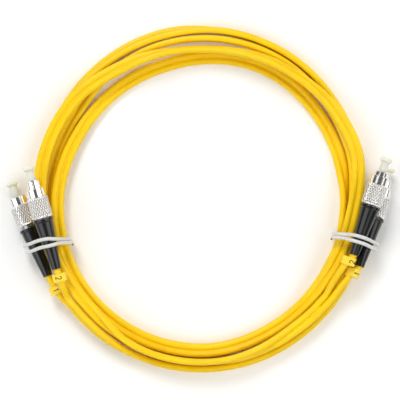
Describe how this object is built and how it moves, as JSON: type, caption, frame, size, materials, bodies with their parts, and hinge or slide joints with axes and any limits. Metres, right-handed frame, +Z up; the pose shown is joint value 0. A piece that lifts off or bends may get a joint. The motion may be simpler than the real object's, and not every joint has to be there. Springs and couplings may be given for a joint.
{
  "type": "fiber optic patch cord",
  "caption": "Duplex yellow zip cord laid in a flat tied coil, with a keyed, screw-coupled ferrule plug on each leg, under push-on dust caps.",
  "frame": {"origin": "middle of the coil, on the surface that it lies on", "axes": "+Z up, +X towards the plugs on the right, +Y towards the back of the coil, which the plugs point to"},
  "size_m": [0.1813, 0.1615, 0.0219],
  "materials": {
    "cord_jacket": "smooth extruded PVC, slight sheen",
    "tie_plastic": "glossy white plastic over a wire core",
    "cap_plastic": "moulded translucent polyethylene",
    "zirconia": "polished",
    "nickel": "bright nickel plating, knurled on the nut",
    "spring_steel": "drawn wire",
    "bronze": "stamped",
    "body_metal": "turned",
    "buffer_coat": "smooth",
    "boot_rubber": "moulded, half gloss",
    "marker_plastic": "moulded, half gloss"
  },
  "bodies": {
    "cord_set": {"zipcord_coil": "cord_jacket", "left_tie": "tie_plastic", "right_tie": "tie_plastic", "left_a_barrel": "nickel", "left_a_rear_body": "body_metal", "left_a_crimp_sleeve": "body_metal", "left_a_buffer": "buffer_coat", "left_a_boot": "boot_rubber", "left_a_spring": "spring_steel", "left_a_leg": "cord_jacket", "left_a_marker": "marker_plastic", "left_b_barrel": "nickel", "left_b_rear_body": "body_metal", "left_b_crimp_sleeve": "body_metal", "left_b_buffer": "buffer_coat", "left_b_boot": "boot_rubber", "left_b_spring": "spring_steel", "left_b_leg": "cord_jacket", "left_b_marker": "marker_plastic", "right_a_barrel": "nickel", "right_a_rear_body": "body_metal", "right_a_crimp_sleeve": "body_metal", "right_a_buffer": "buffer_coat", "right_a_boot": "boot_rubber", "right_a_spring": "spring_steel", "right_a_leg": "cord_jacket", "right_a_marker": "marker_plastic", "right_b_barrel": "nickel", "right_b_rear_body": "body_metal", "right_b_crimp_sleeve": "body_metal", "right_b_buffer": "buffer_coat", "right_b_boot": "boot_rubber", "right_b_spring": "spring_steel", "right_b_leg": "cord_jacket", "right_b_marker": "marker_plastic"},
    "left_a_ferrule_set": {"left_a_ferrule": "zirconia", "left_a_ferrule_holder": "nickel"},
    "left_a_cap": {"left_a_dust_cap": "cap_plastic"},
    "left_a_ring": {"left_a_snap_ring": "bronze"},
    "left_a_nut": {"left_a_coupling_nut": "nickel"},
    "left_b_ferrule_set": {"left_b_ferrule": "zirconia", "left_b_ferrule_holder": "nickel"},
    "left_b_cap": {"left_b_dust_cap": "cap_plastic"},
    "left_b_ring": {"left_b_snap_ring": "bronze"},
    "left_b_nut": {"left_b_coupling_nut": "nickel"},
    "right_a_ferrule_set": {"right_a_ferrule": "zirconia", "right_a_ferrule_holder": "nickel"},
    "right_a_cap": {"right_a_dust_cap": "cap_plastic"},
    "right_a_ring": {"right_a_snap_ring": "bronze"},
    "right_a_nut": {"right_a_coupling_nut": "nickel"},
    "right_b_ferrule_set": {"right_b_ferrule": "zirconia", "right_b_ferrule_holder": "nickel"},
    "right_b_cap": {"right_b_dust_cap": "cap_plastic"},
    "right_b_ring": {"right_b_snap_ring": "bronze"},
    "right_b_nut": {"right_b_coupling_nut": "nickel"}
  },
  "joints": [
    {"name": "left_a_ferrule_float", "type": "slide", "parent": "cord_set", "child": "left_a_ferrule_set", "axis": [-0.3711, 0.9279, -0.0349], "range_m": [-0.001, 0], "stiffness_N_per_m": 3000, "springref_m": 0.002, "deforming": ["left_a_spring"]},
    {"name": "left_a_cap_pull", "type": "slide", "parent": "left_a_ferrule_set", "child": "left_a_cap", "axis": [-0.3711, 0.9279, -0.0349], "range_m": [-0.0012, 0.0078]},
    {"name": "left_a_nut_slide", "type": "slide", "parent": "cord_set", "child": "left_a_ring", "axis": [-0.3711, 0.9279, -0.0349], "range_m": [-0.0014, 0.0003]},
    {"name": "left_a_nut_turn", "type": "hinge", "parent": "left_a_ring", "child": "left_a_nut", "pos_m": [-0.0858, 0.0005, 0.005], "axis": [-0.3711, 0.9279, -0.0349], "continuous": true},
    {"name": "left_b_ferrule_float", "type": "slide", "parent": "cord_set", "child": "left_b_ferrule_set", "axis": [-0.2601, 0.9641, 0.0523], "range_m": [-0.001, 0], "stiffness_N_per_m": 3000, "springref_m": 0.002, "deforming": ["left_b_spring"]},
    {"name": "left_b_cap_pull", "type": "slide", "parent": "left_b_ferrule_set", "child": "left_b_cap", "axis": [-0.2601, 0.9641, 0.0523], "range_m": [0, 0.009]},
    {"name": "left_b_nut_slide", "type": "slide", "parent": "cord_set", "child": "left_b_ring", "axis": [-0.2601, 0.9641, 0.0523], "range_m": [-0.0002, 0.0046]},
    {"name": "left_b_nut_turn", "type": "hinge", "parent": "left_b_ring", "child": "left_b_nut", "pos_m": [-0.0777, 0.0085, 0.0175], "axis": [-0.2601, 0.9641, 0.0523], "continuous": true},
    {"name": "right_a_ferrule_float", "type": "slide", "parent": "cord_set", "child": "right_a_ferrule_set", "axis": [0.3027, 0.9429, -0.1392], "range_m": [-0.001, 0], "stiffness_N_per_m": 3000, "springref_m": 0.002, "deforming": ["right_a_spring"]},
    {"name": "right_a_cap_pull", "type": "slide", "parent": "right_a_ferrule_set", "child": "right_a_cap", "axis": [0.3027, 0.9429, -0.1392], "range_m": [0, 0.009]},
    {"name": "right_a_nut_slide", "type": "slide", "parent": "cord_set", "child": "right_a_ring", "axis": [0.3027, 0.9429, -0.1392], "range_m": [-0.0002, 0.004]},
    {"name": "right_a_nut_turn", "type": "hinge", "parent": "right_a_ring", "child": "right_a_nut", "pos_m": [0.0859, 0.008, 0.0053], "axis": [0.3027, 0.9429, -0.1392], "continuous": true},
    {"name": "right_b_ferrule_float", "type": "slide", "parent": "cord_set", "child": "right_b_ferrule_set", "axis": [0.3169, 0.947, 0.0523], "range_m": [-0.001, 0], "stiffness_N_per_m": 3000, "springref_m": 0.002, "deforming": ["right_b_spring"]},
    {"name": "right_b_cap_pull", "type": "slide", "parent": "right_b_ferrule_set", "child": "right_b_cap", "axis": [0.3169, 0.947, 0.0523], "range_m": [0, 0.009]},
    {"name": "right_b_nut_slide", "type": "slide", "parent": "cord_set", "child": "right_b_ring", "axis": [0.3169, 0.947, 0.0523], "range_m": [-0.0003, 0.0026]},
    {"name": "right_b_nut_turn", "type": "hinge", "parent": "right_b_ring", "child": "right_b_nut", "pos_m": [0.0834, 0.0125, 0.0174], "axis": [0.3169, 0.947, 0.0523], "continuous": true}
  ]
}
